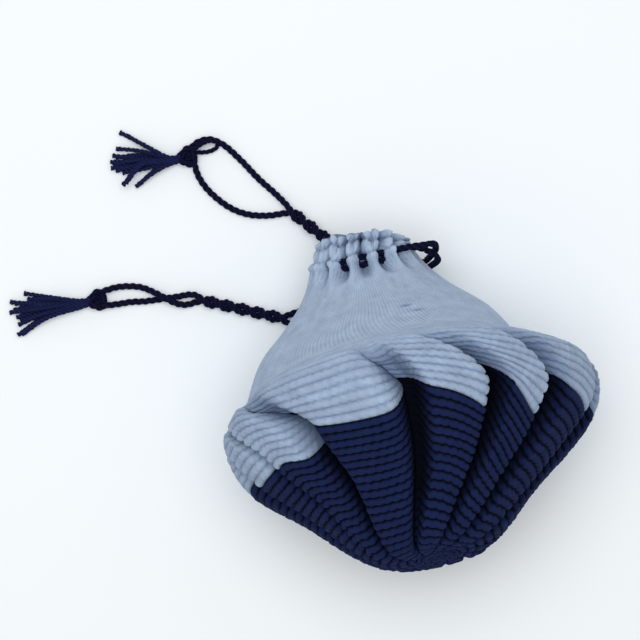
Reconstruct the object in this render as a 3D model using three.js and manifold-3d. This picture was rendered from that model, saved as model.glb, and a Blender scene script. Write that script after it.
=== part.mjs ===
// A hand-knitted drawstring pouch, lying on its side on a table with its neck drawn shut.
// Thirteen two-colour garter-stitch gores run from a small base disc to a plain yoke. A gathered
// collar with a round of eyelets and a frill closes the top. Two drawstrings run round the collar
// through the eyelets, one leaving on each side, and each ends in a knot and a tassel.
// Millimetres, +Z up. The table is the plane z = 0, and +Y points from the base to the mouth.
import * as THREE from "three";
import { mergeVertices } from "three/addons/utils/BufferGeometryUtils.js";
import Module from "manifold-3d";

const wasm = await Module();
wasm.setup();

// Driving dimensions: counts and clearances.
const GORE_COUNT = 13;
const PLEAT_COUNT = 14;
const SEAM_GAP = 0.3;
const GORE_GAP = 0.6;
const CORD_CLEARANCE = 0.5;

// Radii of the pouch at its named rings, measured to the crests of the gores and pleats.
const BASE_DISC_RADIUS = 12;
const BASE_RIM_RADIUS = 34;
const LOWER_SIDE_RADIUS = 65;
const COLOUR_CHANGE_RADIUS = 98;
const BELLY_RADIUS = 107;
const GORE_TOP_RADIUS = 103;
const YOKE_SEAM_RADIUS = 90;
const SHOULDER_RADIUS = 66;
const COLLAR_SEAM_RADIUS = 41;
const TIE_RADIUS = 31;
const FRILL_RADIUS = 28;

// Rise along the axis from each ring to the next.
const BASE_DISC_RISE = 1;
const BASE_RIM_RISE = 3.5;
const LOWER_SIDE_RISE = 27.5;
const COLOUR_CHANGE_RISE = 28.5;
const BELLY_RISE = 22;
const GORE_TOP_RISE = 12;
const YOKE_SEAM_RISE = 8;
const SHOULDER_RISE = 31;
const COLLAR_SEAM_RISE = 26;
const TIE_RISE = 17;
const FRILL_RISE = 14;

// Knitted cloth.
const GORE_WALL = 4.5;
const COLLAR_WALL = 6;
const RIB_DEPTH_RATIO = 0.82; // valley depth between gores, against a gore's half width
const RIB_SOFT_SIDE = 2.5; // exponent of the gore's left side, which turns in gently
const RIB_STEEP_SIDE = 6; // exponent of its right side, which overhangs the next gore
const COLOUR_SLANT = 13; // how much higher the colour change is at the left edge of the most slanted gore
const SLANT_FACING = THREE.MathUtils.degToRad(55); // where round the pouch that gore is
const SAG_FACING = THREE.MathUtils.degToRad(132); // the gores on the left sag round this direction
const SAG_SPREAD = THREE.MathUtils.degToRad(28);
const SAG_SHIFT = THREE.MathUtils.degToRad(9); // how far they shift down the side
const COLOUR_DIP = 17; // and how much lower their colour change is
const SWIRL_RADIUS = 76; // the gores swirl to the left from this radius to the base disc
const SWIRL_TURN = THREE.MathUtils.degToRad(55);
const TOP_LEAN = THREE.MathUtils.degToRad(14); // and on top they lean to the left again towards the yoke
const COLLAR_SEAM_PLEAT = 4;
const TIE_PLEAT = 12;
const FRILL_PLEAT = 13;
const EYELET_CLEARANCE = 0.7; // round the two drawstrings in an eyelet

// How it lies: the base is raised, the neck sags level, and the underside spreads on the table.
const BASE_TILT = THREE.MathUtils.degToRad(20);
const BEND_LENGTH = 65;
const BELLY_HEIGHT = 65; // axis above the table at the belly ring
const TABLE_PRESS = 8; // how far the round underside would reach below the table
const SQUEEZE_EASE = 4; // exponent that blends the flattened underside into the round base and neck
const UNDERSIDE_FULLNESS = 0.8; // exponent that spreads the underside flatter than round
const SHOULDER_LEAN = 9.5; // the fuller left shoulder bows the axis to the left
const BASE_LEAN = 5; // and the base lies to the left too
const NECK_LEAN = 9; // as does the neck

// Drawstrings.
const CORD_DIAMETER = 3;
const CORD_GAP = 1.2; // between the two drawstrings in the eyelets
const EXIT_DEPTH = 4; // how far below the crests of the pleats a strand begins
const CORD_SIDES = 7;
const KNOT_RADIUS = 3.3;
const KNOT_TUBE = 1.35;
const TAIL_RADIUS = 1.15;
const TAIL_COUNT = 8;
const TABLE_CLEARANCE = 0.1;

const navyYarn = new THREE.MeshStandardMaterial({ color: 0x1b2350, roughness: 0.95, metalness: 0 });
const lightYarn = new THREE.MeshStandardMaterial({ color: 0xa9bbd6, roughness: 0.95, metalness: 0 });
const cordYarn = new THREE.MeshStandardMaterial({ color: 0x12163c, roughness: 0.85, metalness: 0 });

// The profile of the pouch, from the base disc to the top of the frill, as radius against axis height.
const rings = [
  [BASE_DISC_RADIUS, BASE_DISC_RISE],
  [BASE_RIM_RADIUS, BASE_RIM_RISE],
  [LOWER_SIDE_RADIUS, LOWER_SIDE_RISE],
  [COLOUR_CHANGE_RADIUS, COLOUR_CHANGE_RISE],
  [BELLY_RADIUS, BELLY_RISE],
  [GORE_TOP_RADIUS, GORE_TOP_RISE],
  [YOKE_SEAM_RADIUS, YOKE_SEAM_RISE],
  [SHOULDER_RADIUS, SHOULDER_RISE],
  [COLLAR_SEAM_RADIUS, COLLAR_SEAM_RISE],
  [TIE_RADIUS, TIE_RISE],
  [FRILL_RADIUS, FRILL_RISE],
];
const ringPoints = [];
let climbed = 0;
for (const [radius, rise] of rings) {
  climbed += rise;
  ringPoints.push(new THREE.Vector2(radius, climbed));
}
const profile = new THREE.SplineCurve(ringPoints);
const FINE_STEPS = 60;
profile.arcLengthDivisions = (ringPoints.length - 1) * FINE_STEPS;
const profileLengths = profile.getLengths();
const profileLength = profileLengths.at(-1);

// Distance along the cloth from the edge of the base disc to a ring, by its place in the list.
const clothTo = (ring) => profileLengths[ring * FINE_STEPS];
const CLOTH_COLOUR_CHANGE = clothTo(3);
const CLOTH_YOKE_SEAM = clothTo(6);
const CLOTH_SHOULDER = clothTo(7);
const CLOTH_COLLAR_SEAM = clothTo(8);
const CLOTH_TIE = clothTo(9);
const bellyRise = ringPoints[4].y;
const shoulderRise = ringPoints[7].y;
const tieRise = ringPoints[9].y;

const { smoothstep, lerp } = THREE.MathUtils;
const halfGore = Math.PI / GORE_COUNT;
const halfPleat = Math.PI / PLEAT_COUNT;

// The axis runs straight down from the base, bends level over BEND_LENGTH, and stays level at the neck.
const bendStart = tieRise - TIE_RISE / 2 - BEND_LENGTH;
const bendRadius = BEND_LENGTH / BASE_TILT;
function axisRun(height) {
  const straight = Math.min(height, bendStart);
  const bent = THREE.MathUtils.clamp(height - bendStart, 0, BEND_LENGTH);
  const level = Math.max(height - bendStart - BEND_LENGTH, 0);
  const tilt = BASE_TILT - bent / bendRadius;
  const y = straight * Math.cos(BASE_TILT) + bendRadius * (Math.sin(BASE_TILT) - Math.sin(tilt)) + level;
  const z = -straight * Math.sin(BASE_TILT) - bendRadius * (Math.cos(tilt) - Math.cos(BASE_TILT));
  return { y, z, tilt };
}
const bellyRun = axisRun(bellyRise);
function axisAt(height) {
  const run = axisRun(height);
  const across = THREE.MathUtils.clamp((height - bellyRise) / (tieRise - bellyRise), 0, 1);
  const below = 1 - smoothstep(height, 0, bellyRise);
  const neckShare = smoothstep(height, shoulderRise, tieRise);
  const lean = SHOULDER_LEAN * Math.sin(Math.PI * across) ** 2 + BASE_LEAN * below + NECK_LEAN * neckShare;
  const centre = new THREE.Vector3(-lean, run.y - bellyRun.y, BELLY_HEIGHT + run.z - bellyRun.z);
  return { centre, tilt: run.tilt };
}

// A point of the pouch at an axis height, radius and angle, the angle from the right towards the top.
// Below the axis the section is flattened so that the underside spreads on the table instead of passing it.
function placed(height, radius, angle, crest) {
  const { centre, tilt } = axisAt(height);
  const room = (centre.z / Math.cos(tilt) + TABLE_PRESS) / crest;
  const eased = (1 + room ** -SQUEEZE_EASE) ** (-1 / SQUEEZE_EASE);
  const sine = Math.sin(angle);
  const rise = radius * (sine < 0 ? -eased * (-sine) ** lerp(1, UNDERSIDE_FULLNESS, 1 - eased) : sine);
  return new THREE.Vector3(
    centre.x + radius * Math.cos(angle),
    centre.y + rise * Math.sin(tilt),
    centre.z + rise * Math.cos(tilt),
  );
}

// The profile at a distance along the cloth, and the same place set in by a depth square to it.
const crestAt = (along) => profile.getPointAt(THREE.MathUtils.clamp(along / profileLength, 0, 1));
function insetAt(along, depth) {
  const tangent = profile.getTangentAt(THREE.MathUtils.clamp(along / profileLength, 0, 1));
  return crestAt(along).add(new THREE.Vector2(-tangent.y, tangent.x).multiplyScalar(depth));
}

// A point of the cloth: a distance along the profile, an angle, and a depth below the crest line.
// What would lie below the table rests on it, with the wall kept.
function clothPoint(along, angleAt, depth, wall) {
  const inset = insetAt(along, depth + wall);
  const point = placed(inset.y, inset.x, angleAt(inset.x), crestAt(along).x);
  point.z = Math.max(point.z, wall);
  return point;
}

// A closed shell between an outer and an inner surface, both functions of (i, j) on a grid.
// A ring closes on itself across i; a panel gets side walls there. Facing edges split their quads alike.
function shell(outer, inner, across, up, isRing) {
  const columns = isRing ? across : across + 1;
  const positions = [];
  for (const surface of [outer, inner]) {
    for (let j = 0; j <= up; j++) {
      for (let i = 0; i < columns; i++) positions.push(...surface(i, j).toArray());
    }
  }
  const half = columns * (up + 1);
  const at = (i, j, side) => side * half + j * columns + (i % columns);
  const index = [];
  const quad = (a, b, c, d) => index.push(a, b, c, a, c, d);
  for (let j = 0; j < up; j++) {
    for (let i = 0; i < across; i++) {
      quad(at(i, j, 0), at(i + 1, j, 0), at(i + 1, j + 1, 0), at(i, j + 1, 0));
      quad(at(i, j, 1), at(i, j + 1, 1), at(i + 1, j + 1, 1), at(i + 1, j, 1));
    }
  }
  for (let i = 0; i < across; i++) {
    quad(at(i, 0, 0), at(i, 0, 1), at(i + 1, 0, 1), at(i + 1, 0, 0));
    quad(at(i, up, 0), at(i + 1, up, 0), at(i + 1, up, 1), at(i, up, 1));
  }
  if (!isRing) {
    for (let j = 0; j < up; j++) {
      quad(at(0, j, 0), at(0, j + 1, 0), at(0, j + 1, 1), at(0, j, 1));
      quad(at(across, j, 0), at(across, j, 1), at(across, j + 1, 1), at(across, j + 1, 0));
    }
  }
  const geometry = new THREE.BufferGeometry();
  geometry.setAttribute("position", new THREE.Float32BufferAttribute(positions, 3));
  geometry.setIndex(index);
  return geometry;
}

function node(name, geometry, material) {
  const mesh = new THREE.Mesh(geometry, material);
  mesh.name = name;
  return mesh;
}

const numbered = (name, k) => `${name}_${String(k + 1).padStart(2, "0")}`;

// Gores: a gore is highest along its middle and turns in at both sides to the valley it shares with its
// neighbour. The valleys are as deep as the gore is wide and fade out at the yoke.
const ACROSS_STATIONS = [-1, -0.75, -0.4, 0.1, 0.6, 0.85, 1];
const LOWER_ROWS = [0, 0.14, 0.28, 0.6, 1];
const UPPER_ROWS = [0, 0.3, 0.52, 0.75, 1];
const LOWER_END = COLOUR_DIP + COLOUR_SLANT / 2; // the even rows stop clear of the colour change, below it
const UPPER_START = 1.6 * COLOUR_SLANT; // and start again above it
function ribDepth(along) {
  const fade = 1 - smoothstep(along, CLOTH_COLOUR_CHANGE, CLOTH_YOKE_SEAM);
  return RIB_DEPTH_RATIO * crestAt(along).x * Math.sin(halfGore) * fade;
}
const ribTurn = (w) => Math.abs(w) ** (w < 0 ? RIB_SOFT_SIDE : RIB_STEEP_SIDE);

// Decreases on one side of each gore make the gores swirl near the base, and the gores that face up lean
// over at the yoke.
function goreTurn(along, facing) {
  const swirl = Math.max(0, 1 - crestAt(along).x / SWIRL_RADIUS) ** 2 * SWIRL_TURN;
  const lean = smoothstep(along, CLOTH_COLOUR_CHANGE + UPPER_START, CLOTH_YOKE_SEAM) * TOP_LEAN;
  return along < CLOTH_COLOUR_CHANGE ? swirl : lean * smoothstep(Math.sin(facing), -0.2, 0.5);
}
const goreFacing = (k) => 2 * halfGore * k - Math.PI / 2;
const sagAt = (facing) => Math.exp((Math.cos(facing - SAG_FACING) - 1) / (1 - Math.cos(SAG_SPREAD)));

// A panel of gore k on rows of cloth, each row a function of the place w across the gore.
function gorePanel(k, rows) {
  const surface = (wall) => (i, j) => {
    const w = ACROSS_STATIONS[i];
    const along = rows[j](w);
    const angle = (radius) => {
      const facing = goreFacing(k) - w * (halfGore - GORE_GAP / 2 / radius);
      return facing + SAG_SHIFT * sagAt(facing) + goreTurn(along, facing);
    };
    return clothPoint(along, angle, ribDepth(along) * ribTurn(w), wall);
  };
  return shell(surface(0), surface(GORE_WALL), ACROSS_STATIONS.length - 1, rows.length - 1, false);
}

// The colour change steps from gore to gore: it slants on the gores that face right and dips on the left.
function colourLine(k) {
  const slant = COLOUR_SLANT * Math.max(0, Math.cos(goreFacing(k) - SLANT_FACING)) ** 2;
  const middle = CLOTH_COLOUR_CHANGE - COLOUR_DIP * sagAt(goreFacing(k));
  return (w) => middle - slant * w;
}
const evenRow = (from, to, share) => () => lerp(from, to, share);

function lowerGore(k) {
  const line = colourLine(k);
  const rows = LOWER_ROWS.map((share) => evenRow(0, CLOTH_COLOUR_CHANGE - LOWER_END, share));
  return gorePanel(k, [...rows, (w) => line(w) - SEAM_GAP / 2]);
}

function upperGore(k) {
  const line = colourLine(k);
  const first = CLOTH_COLOUR_CHANGE + UPPER_START;
  const rows = UPPER_ROWS.map((share) => evenRow(first, CLOTH_YOKE_SEAM - SEAM_GAP / 2, share));
  return gorePanel(k, [(w) => line(w) + SEAM_GAP / 2, ...rows]);
}

// Base disc: a low knitted dome that closes the ring of gore points and follows their slanting ends.
function baseDisc() {
  const bottom = insetAt(0, 0);
  const top = insetAt(0, GORE_WALL + ribDepth(0));
  const section = [
    new THREE.Vector2(0, bottom.y / 2),
    new THREE.Vector2(bottom.x / 2, bottom.y * 0.7),
    new THREE.Vector2(bottom.x - SEAM_GAP, bottom.y),
    new THREE.Vector2(top.x - SEAM_GAP, top.y),
    new THREE.Vector2(0, top.y),
  ];
  return new THREE.LatheGeometry(section, 2 * GORE_COUNT);
}

// Pleats: the gathered cloth of the neck waves in and out.
function pleatDepth(along) {
  const gathered = smoothstep(along, CLOTH_SHOULDER, CLOTH_COLLAR_SEAM) * COLLAR_SEAM_PLEAT;
  const tied = smoothstep(along, CLOTH_COLLAR_SEAM, CLOTH_TIE) * (TIE_PLEAT - COLLAR_SEAM_PLEAT);
  const frilled = smoothstep(along, CLOTH_TIE, profileLength) * (FRILL_PLEAT - TIE_PLEAT);
  return gathered + tied + frilled;
}
const pleatTurn = (angle) => (1 - Math.cos(PLEAT_COUNT * angle)) / 2;

function neckRing(from, to, stations, perPleat, wallThickness) {
  const around = PLEAT_COUNT * perPleat;
  const surface = (wall) => (i, j) => {
    const angle = (-2 * Math.PI * i) / around;
    const along = lerp(from, to, stations[j]);
    return clothPoint(along, () => angle, pleatDepth(along) * pleatTurn(angle), wall);
  };
  return shell(surface(0), surface(wallThickness), around, stations.length - 1, true);
}

// Solids for cutting and joining.
function solidOf(geometry) {
  const bare = geometry.index ? geometry.toNonIndexed() : geometry.clone();
  for (const name of Object.keys(bare.attributes)) {
    if (name !== "position") bare.deleteAttribute(name);
  }
  const merged = mergeVertices(bare, 1e-4);
  const vertProperties = new Float32Array(merged.attributes.position.array);
  const triVerts = new Uint32Array(merged.index.array);
  return new wasm.Manifold(new wasm.Mesh({ numProp: 3, vertProperties, triVerts }));
}
function geometryOf(solid) {
  const mesh = solid.getMesh();
  const geometry = new THREE.BufferGeometry();
  geometry.setAttribute("position", new THREE.BufferAttribute(new Float32Array(mesh.vertProperties), 3));
  geometry.setIndex(new THREE.BufferAttribute(new Uint32Array(mesh.triVerts), 1));
  return geometry;
}

// A round cord along a list of points, with flat ends.
function cordAlong(points, radius, steps, sides = CORD_SIDES) {
  const section = [];
  for (let i = 0; i < sides; i++) {
    const turn = (2 * Math.PI * i) / sides;
    section.push(new THREE.Vector2(radius * Math.cos(turn), radius * Math.sin(turn)));
  }
  const extrudePath = new THREE.CatmullRomCurve3(points);
  return new THREE.ExtrudeGeometry(new THREE.Shape(section), { steps, extrudePath });
}

// The drawstrings run round the neck half way down the pleats: outside the cloth in each valley and
// inside it under each crest. Each drawstring comes out through two neighbouring valleys.
const cordRadius = CORD_DIAMETER / 2;
const cordSpacing = CORD_DIAMETER + CORD_GAP;
const tieCordRadius = TIE_RADIUS - (TIE_PLEAT + COLLAR_WALL) / 2;
const exitRadius = TIE_RADIUS - EXIT_DEPTH;
const neck = axisAt(tieRise).centre;
function aroundNeck(radius, angle, forward) {
  const out = new THREE.Vector3(radius * Math.cos(angle), forward, radius * Math.sin(angle));
  return out.add(neck);
}

// The valleys on either side of the pleat where a drawstring leaves.
const exitAngles = (pleat) => [(2 * pleat - 1) * halfPleat, (2 * pleat + 1) * halfPleat];

function drawstringRing(pleat, forward) {
  const [first, second] = exitAngles(pleat);
  const leave = 0.45 * halfPleat;
  const start = second + leave;
  const sweep = 2 * Math.PI - (second - first) - 2 * leave;
  const outWay = [
    [exitRadius - SEAM_GAP, 0],
    [exitRadius - SEAM_GAP - cordRadius, 0],
    [lerp(tieCordRadius, exitRadius, 0.3), 0.4 * leave],
  ];
  const count = 2 * PLEAT_COUNT - 2;
  const points = outWay.map(([radius, turn]) => aroundNeck(radius, second + turn, forward));
  for (let i = 0; i <= count; i++) {
    points.push(aroundNeck(tieCordRadius, start + (sweep * i) / count, forward));
  }
  outWay.reverse().forEach(([radius, turn]) => points.push(aroundNeck(radius, first - turn, forward)));
  return points;
}

// A strand starts straight out of its valley, face to face with the end of the ring.
const strandStart = (angle, forward) =>
  [0, 0.5 * CORD_DIAMETER].map((past) => aroundNeck(exitRadius + past, angle, forward));
const LEFT_EXIT_PLEAT = 10; // under the neck, on the left
const RIGHT_EXIT_PLEAT = 1; // at the upper right
const LEFT_FORWARD = -cordSpacing / 2;
const RIGHT_FORWARD = cordSpacing / 2;
const leftRing = drawstringRing(LEFT_EXIT_PLEAT, LEFT_FORWARD);
const rightRing = drawstringRing(RIGHT_EXIT_PLEAT, RIGHT_FORWARD);
const RING_STEPS = 32;

// Collar: the gathered cloth with a slot through every flank of its pleats for the two drawstrings.
function collar() {
  const stations = [0, 0.35, 0.6, 0.85, 1];
  const cloth = solidOf(neckRing(CLOTH_COLLAR_SEAM + SEAM_GAP / 2, profileLength, stations, 6, COLLAR_WALL));
  const halfDepth = cordRadius + EYELET_CLEARANCE;
  const halfHeight = cordSpacing / 2 + cordRadius + EYELET_CLEARANCE;
  const slotSection = [
    new THREE.Vector2(tieCordRadius - halfDepth, -halfHeight),
    new THREE.Vector2(tieCordRadius + halfDepth, -halfHeight),
    new THREE.Vector2(tieCordRadius + halfDepth, halfHeight),
    new THREE.Vector2(tieCordRadius - halfDepth, halfHeight),
    new THREE.Vector2(tieCordRadius - halfDepth, -halfHeight),
  ];
  const slots = new THREE.LatheGeometry(slotSection, 2 * PLEAT_COUNT);
  slots.translate(neck.x, neck.y, neck.z);
  let cut = cloth.subtract(solidOf(slots));
  for (const points of [leftRing, rightRing]) {
    for (const way of [points.slice(0, 6), points.slice(-6)]) {
      cut = cut.subtract(solidOf(cordAlong(way, cordRadius + CORD_CLEARANCE, 6)));
    }
  }
  return geometryOf(cut);
}

// Two strands twisted round each other from one point to another, as two lists of points. The first strand
// starts on top and ends below, after an odd number of half turns.
function twisted(from, to, halfTurns) {
  const start = new THREE.Vector3(...from);
  const end = new THREE.Vector3(...to);
  const direction = end.clone().sub(start).normalize();
  const side = new THREE.Vector3(0, 0, 1).cross(direction).normalize();
  const up = direction.clone().cross(side);
  const count = 4 * halfTurns;
  const strands = [[], []];
  for (let i = 0; i <= count; i++) {
    const turn = Math.PI * (0.5 + (halfTurns * i) / count);
    const off = side.clone().multiplyScalar(Math.cos(turn)).addScaledVector(up, Math.sin(turn));
    const middle = start.clone().lerp(end, i / count);
    strands[0].push(middle.clone().addScaledVector(off, twistSpread));
    strands[1].push(middle.clone().addScaledVector(off, -twistSpread));
  }
  return strands;
}
const twistSpread = cordRadius + CORD_CLEARANCE;
const route = (...stretches) => stretches.flat().map((p) => (p.isVector3 ? p : new THREE.Vector3(...p)));

// The left drawstring drops from the underside of the neck, passes below the frill, twists together,
// opens into a wide loop on the table and meets at its knot.
const leftStarts = exitAngles(LEFT_EXIT_PLEAT).map((angle) => strandStart(angle, LEFT_FORWARD));
const leftTwist = twisted([-24, 108, 8.5], [-42, 130, 3.7], 3);
const LEFT_KNOT = [-94.6, 175.2];
const leftStrands = [
  route(
    leftStarts[0],
    [[-22.5, 89.9, 18.2], [-23.3, 91.8, 15.7], [-23.8, 95.2, 13.6], [-23.8, 99.4, 12.3], [-23.2, 103.9, 11.3]],
    leftTwist[0],
    [[-47.6, 130.4, 1.7], [-55.5, 131, 1.7], [-66, 133.8, 1.7], [-75, 139, 1.7], [-82.4, 146.6, 1.7],
      [-88.2, 155.4, 1.8], [-91, 163, 2.4], [-91.7, 169.2, 3.1]],
  ),
  route(
    leftStarts[1],
    [[-9.5, 90, 15.2], [-10.5, 92, 12.6], [-12.1, 95.2, 10.5], [-14.2, 99.2, 8.9], [-17, 103, 7.7],
      [-20.4, 106.2, 6.8]],
    leftTwist[1],
    [[-44.2, 135, 4.8], [-49.2, 143, 2.2], [-56.5, 153.2, 1.7], [-65, 167.2, 1.7], [-72.6, 177.6, 1.7],
      [-79.5, 182.4, 1.8], [-86, 182.5, 2.5], [-90.6, 180.4, 3.1]],
  ),
];

// The right drawstring comes over the side of the neck, drops to the table, runs back below the
// shoulder, twists together on the left and opens into a small loop before its knot.
const rightStarts = exitAngles(RIGHT_EXIT_PLEAT).map((angle) => strandStart(angle, RIGHT_FORWARD));
const rightTwist = twisted([-62, 70.6, 3.7], [-104, 90.6, 3.7], 5);
const RIGHT_KNOT = [-164.9, 104.6];
const rightStrands = [
  route(
    rightStarts[0],
    [[24.3, 91.9, 54], [29.2, 88.9, 53.3], [31.8, 86.4, 51.4], [33.1, 84.4, 48.6], [33.5, 83.2, 45.2],
      [33, 82.4, 39], [31.6, 81.6, 28.5], [29.2, 80.6, 17], [25.6, 79, 7.4], [19.4, 77.6, 2.7], [10, 76.2, 1.8],
      [0, 74.8, 1.75], [-25, 69, 1.75], [-45, 65.4, 2], [-53, 65.2, 3], [-58.4, 66.6, 4.6]],
    rightTwist[0],
    [[-109.6, 90.6, 1.7], [-114, 90.4, 2], [-118, 91.4, 3.1], [-122, 93.8, 4.6], [-126.4, 97.6, 5.2],
      [-131.4, 101.8, 4], [-138, 106.2, 2], [-146, 108.7, 1.75], [-153, 109.5, 2.2], [-157.2, 109.2, 2.9],
      [-160.1, 108.9, 3.1]],
  ),
  route(
    rightStarts[1],
    [[18.6, 93.4, 66.8], [24.2, 92.9, 66.9], [27.8, 92.6, 65.8], [30.3, 92.5, 63.8], [32, 92.3, 61],
      [33, 91.9, 57.4], [33.6, 91, 51], [33.8, 89.9, 44.5], [33.4, 88.6, 36], [31.6, 86.8, 22], [27.4, 84.3, 8.6],
      [20.2, 82.3, 2.8], [10, 80.6, 1.8],
      [0, 79.4, 1.75], [-25, 75, 1.75], [-45, 72.6, 1.75], [-55, 71.6, 1.75]],
    rightTwist[1],
    [[-107.4, 94.4, 5.2], [-112, 96, 3.4], [-117.5, 96.2, 2], [-126, 96.8, 1.7], [-131.5, 97.2, 1.7],
      [-138, 97.8, 1.75], [-146, 99.2, 1.75], [-153, 99.6, 2.2], [-157.2, 100, 2.9], [-160.1, 100.3, 3.1]],
  ),
];

// Knot: an overhand knot, which is a trefoil, with one lobe towards each strand and one towards the tassel.
const knotHeight = KNOT_RADIUS / 2 + KNOT_TUBE + TABLE_CLEARANCE;
const knotReach = 1.5 * KNOT_RADIUS + KNOT_TUBE;
function knot() {
  const geometry = new THREE.TorusKnotGeometry(KNOT_RADIUS, KNOT_TUBE, 36, 5, 2, 3);
  return geometry.rotateZ(Math.PI);
}

// Tassel: yarn ends that leave the knot as one stem and fan out over the table, along +X.
function tassel(length, fan) {
  const start = knotReach + SEAM_GAP;
  const floor = TAIL_RADIUS + TABLE_CLEARANCE - knotHeight;
  let bundle = null;
  for (let i = 0; i < TAIL_COUNT; i++) {
    const share = i / (TAIL_COUNT - 1) - 0.5;
    const lift = i % 2;
    const reach = length * (0.9 + 0.1 * Math.cos(2.4 * i));
    const angle = 2 * fan * share;
    const bow = 0.05 * length * Math.sin(1.7 * i);
    const points = [
      [start, 0.8 * share, 0],
      [start + 0.14 * length, 2.4 * share, floor * 0.25 + lift * 0.6],
      [start + 0.4 * reach, 0.3 * reach * Math.sin(angle), floor + lift * 1.2],
      [0.75 * reach, 0.72 * reach * Math.sin(angle) + bow, floor + lift * 0.8],
      [reach * Math.cos(angle), reach * Math.sin(angle), floor],
    ];
    const tail = solidOf(cordAlong(route(points), TAIL_RADIUS, 4, 5));
    bundle = bundle ? bundle.add(tail) : tail;
  }
  return geometryOf(bundle);
}

// Assembly.
const pouch = new THREE.Group();
for (let k = 0; k < GORE_COUNT; k++) {
  pouch.add(node(numbered("lower_gore", k), lowerGore(k), navyYarn));
  pouch.add(node(numbered("upper_gore", k), upperGore(k), lightYarn));
}
const disc = node("base_disc", baseDisc(), navyYarn);
disc.position.copy(axisAt(0).centre);
disc.rotation.x = -BASE_TILT;
pouch.add(disc);

const yokeFrom = CLOTH_YOKE_SEAM + SEAM_GAP / 2;
const yokeTo = CLOTH_COLLAR_SEAM - SEAM_GAP / 2;
const yokeStations = [0, 0.33, 0.67, 1];
pouch.add(node("yoke", neckRing(yokeFrom, yokeTo, yokeStations, 4, GORE_WALL), lightYarn));
pouch.add(node("collar", collar(), lightYarn));
pouch.add(node("left_drawstring_ring", cordAlong(leftRing, cordRadius, RING_STEPS), cordYarn));
pouch.add(node("right_drawstring_ring", cordAlong(rightRing, cordRadius, RING_STEPS), cordYarn));

const assembly = new THREE.Group();
assembly.add(pouch);
const drawstrings = [
  { side: "left", strands: leftStrands, steps: 42, at: LEFT_KNOT, heading: 173, length: 44, fan: 0.44 },
  { side: "right", strands: rightStrands, steps: 74, at: RIGHT_KNOT, heading: 178, length: 52, fan: 0.24 },
];
for (const { side, strands, steps, at, heading, length, fan } of drawstrings) {
  strands.forEach((points, i) => {
    assembly.add(node(`${side}_strand_${i + 1}`, cordAlong(points, cordRadius, steps), cordYarn));
  });
  const end = new THREE.Group();
  end.position.set(at[0], at[1], knotHeight);
  end.add(node(`${side}_knot`, knot(), cordYarn));
  const ends = node(`${side}_tassel`, tassel(length, fan), cordYarn);
  ends.rotation.z = THREE.MathUtils.degToRad(heading);
  end.add(ends);
  assembly.add(end);
}

// The origin is on the table, under the middle of the pouch.
const extent = new THREE.Box3().setFromObject(pouch);
const middle = extent.getCenter(new THREE.Vector3());
assembly.position.set(-middle.x, -middle.y, -extent.min.z);

export default assembly;
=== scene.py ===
import bpy
import numpy as np
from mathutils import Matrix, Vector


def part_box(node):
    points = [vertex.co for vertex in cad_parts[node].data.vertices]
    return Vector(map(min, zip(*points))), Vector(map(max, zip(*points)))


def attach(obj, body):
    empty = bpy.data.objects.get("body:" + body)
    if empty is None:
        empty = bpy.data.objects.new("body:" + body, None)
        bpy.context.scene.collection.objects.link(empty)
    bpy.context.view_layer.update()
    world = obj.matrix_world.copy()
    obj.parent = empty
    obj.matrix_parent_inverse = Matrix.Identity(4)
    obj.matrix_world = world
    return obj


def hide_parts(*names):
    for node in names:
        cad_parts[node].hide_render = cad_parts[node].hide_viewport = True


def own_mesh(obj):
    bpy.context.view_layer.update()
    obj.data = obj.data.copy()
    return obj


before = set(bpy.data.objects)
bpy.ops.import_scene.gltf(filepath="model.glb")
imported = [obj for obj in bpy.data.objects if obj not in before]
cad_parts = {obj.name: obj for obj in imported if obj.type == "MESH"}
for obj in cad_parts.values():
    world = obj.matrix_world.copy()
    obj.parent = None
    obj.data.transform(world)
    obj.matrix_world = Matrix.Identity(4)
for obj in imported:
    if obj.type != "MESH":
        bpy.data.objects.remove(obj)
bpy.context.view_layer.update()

# Gores: thirteen wedges knitted one after another in garter stitch, navy wool from the base to the colour
# change and light blue wool above it. Each is picked up along the edge of the last, so a deep fold parts
# them, and decreases on one side of each make the points swirl in to the base.
GORE_COUNT = 13
# Rings of the pouch from base to frill: radius, and rise from the ring before, in millimetres like all sizes.
BASE_DISC, BASE_RIM, LOWER_SIDE, COLOUR_CHANGE = (12, 1), (34, 3.5), (65, 27.5), (98, 28.5)
BELLY, GORE_TOP, YOKE_SEAM, SHOULDER = (107, 22), (103, 12), (90, 8), (66, 31)
COLLAR_SEAM, TIE, FRILL = (41, 26), (31, 17), (28, 14)
RINGS = (
    BASE_DISC, BASE_RIM, LOWER_SIDE, COLOUR_CHANGE, BELLY, GORE_TOP,
    YOKE_SEAM, SHOULDER, COLLAR_SEAM, TIE, FRILL,
)
STEPS_PER_RING, TANGENT_STEP = 60, 1e-4
VALLEY_GAP, VALLEY_CLOSES, SEAM_GAP = 0.3, 20, 0.15
RIB_DEPTH_RATIO, RIB_SOFT_SIDE, RIB_STEEP_SIDE, RIB_FADE = 0.82, (-0.80, -0.46), 9, (6, 48)
# A gore's colour line: its rise at three places across the gore, and how much higher it is in the fold.
LINE_PLACES = (-0.5, 0.2, 0.9)
COLOUR_LINES = {
    3: (2, -2, -5, 8), 4: (3, -1, -7, 8), 5: (2, -9, -18, 8), 6: (6, -2.5, -13.5, 2), 7: (2.5, -3, -3.5, 10),
    8: (-9, -8, -15, 10), 9: (-8, -8, -8, 10),
}
LEVEL_LINE = (0, 0, 0, 10)
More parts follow.
